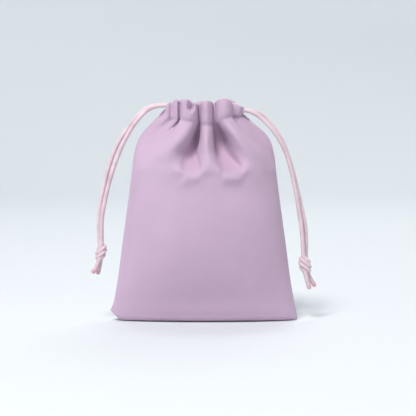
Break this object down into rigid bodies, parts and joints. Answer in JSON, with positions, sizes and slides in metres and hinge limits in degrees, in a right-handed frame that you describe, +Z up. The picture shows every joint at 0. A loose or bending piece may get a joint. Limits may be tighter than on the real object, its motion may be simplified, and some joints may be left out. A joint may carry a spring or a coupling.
{
  "type": "drawstring gift pouch",
  "caption": "Drawstring gift pouch of soft fabric, standing with its mouth cinched by knotted cords that hang at each side; the gathered mouth opens as the cords draw in.",
  "frame": {"origin": "middle of the base face that the pouch stands on", "axes": "+Z up, -Y the front, +X to the right seen from the front"},
  "size_m": [0.1185, 0.0404, 0.1164],
  "materials": {
    "fabric": "soft matt-satin lilac microfibre",
    "fabric_reverse": "matt reverse side of the same fabric",
    "thread": "lilac polyester sewing thread",
    "cord": "pale pink braided satin cord",
    "cord_tip": "heat-sealed cord ends, darker pink"
  },
  "bodies": {
    "pouch": {"front_panel": "fabric", "back_panel": "fabric", "left_seam_allowance": "fabric_reverse", "right_seam_allowance": "fabric_reverse", "bottom_seam_allowance": "fabric_reverse", "left_seam_stitches": "thread", "right_seam_stitches": "thread", "bottom_seam_stitches": "thread", "left_slit_bartack": "thread", "right_slit_bartack": "thread", "left_cord_loop": "cord", "right_cord_loop": "cord"},
    "front_mouth": {"front_channel": "fabric", "front_channel_stitches": "thread"},
    "back_mouth": {"back_channel": "fabric", "back_channel_stitches": "thread"},
    "left_cord": {"left_cord_front_strand": "cord", "left_cord_back_strand": "cord"},
    "left_knot": {"left_cord_knot": "cord", "left_cord_front_tail": "cord", "left_cord_back_tail": "cord", "left_cord_tips": "cord_tip"},
    "right_cord": {"right_cord_front_strand": "cord", "right_cord_back_strand": "cord"},
    "right_knot": {"right_cord_knot": "cord", "right_cord_front_tail": "cord", "right_cord_back_tail": "cord", "right_cord_tips": "cord_tip"}
  },
  "joints": [
    {"name": "mouth_front_open", "type": "hinge", "parent": "pouch", "child": "front_mouth", "pos_m": [0, -0.0142, 0.092], "axis": [1, 0, 0], "range_deg": [0, 25], "deforming": ["left_cord_loop", "right_cord_loop"]},
    {"name": "mouth_back_open", "type": "hinge", "parent": "pouch", "child": "back_mouth", "pos_m": [0, 0.0142, 0.092], "axis": [-1, 0, 0], "range_deg": [0, 25], "deforming": ["left_cord_loop", "right_cord_loop"]},
    {"name": "left_cord_swing", "type": "hinge", "parent": "pouch", "child": "left_cord", "pos_m": [-0.021, 0, 0.1134], "axis": [0, 1, 0], "range_deg": [-1.5, 55]},
    {"name": "left_cord_draw", "type": "slide", "parent": "left_cord", "child": "left_knot", "axis": [0.2501, 0, 0.9682], "range_m": [0, 0.015], "deforming": ["left_cord_front_strand", "left_cord_back_strand"]},
    {"name": "right_cord_swing", "type": "hinge", "parent": "pouch", "child": "right_cord", "pos_m": [0.0228, 0, 0.1106], "axis": [0, -1, 0], "range_deg": [-1.5, 55]},
    {"name": "right_cord_draw", "type": "slide", "parent": "right_cord", "child": "right_knot", "axis": [-0.2501, 0, 0.9682], "range_m": [0, 0.015], "deforming": ["right_cord_front_strand", "right_cord_back_strand"]}
  ],
  "couplings": [
    {"joint": "mouth_back_open", "follows": "mouth_front_open", "ratio": 1},
    {"joint": "left_cord_draw", "follows": "mouth_front_open", "m_per_rad": 0.03403},
    {"joint": "right_cord_draw", "follows": "mouth_front_open", "m_per_rad": 0.03403}
  ]
}
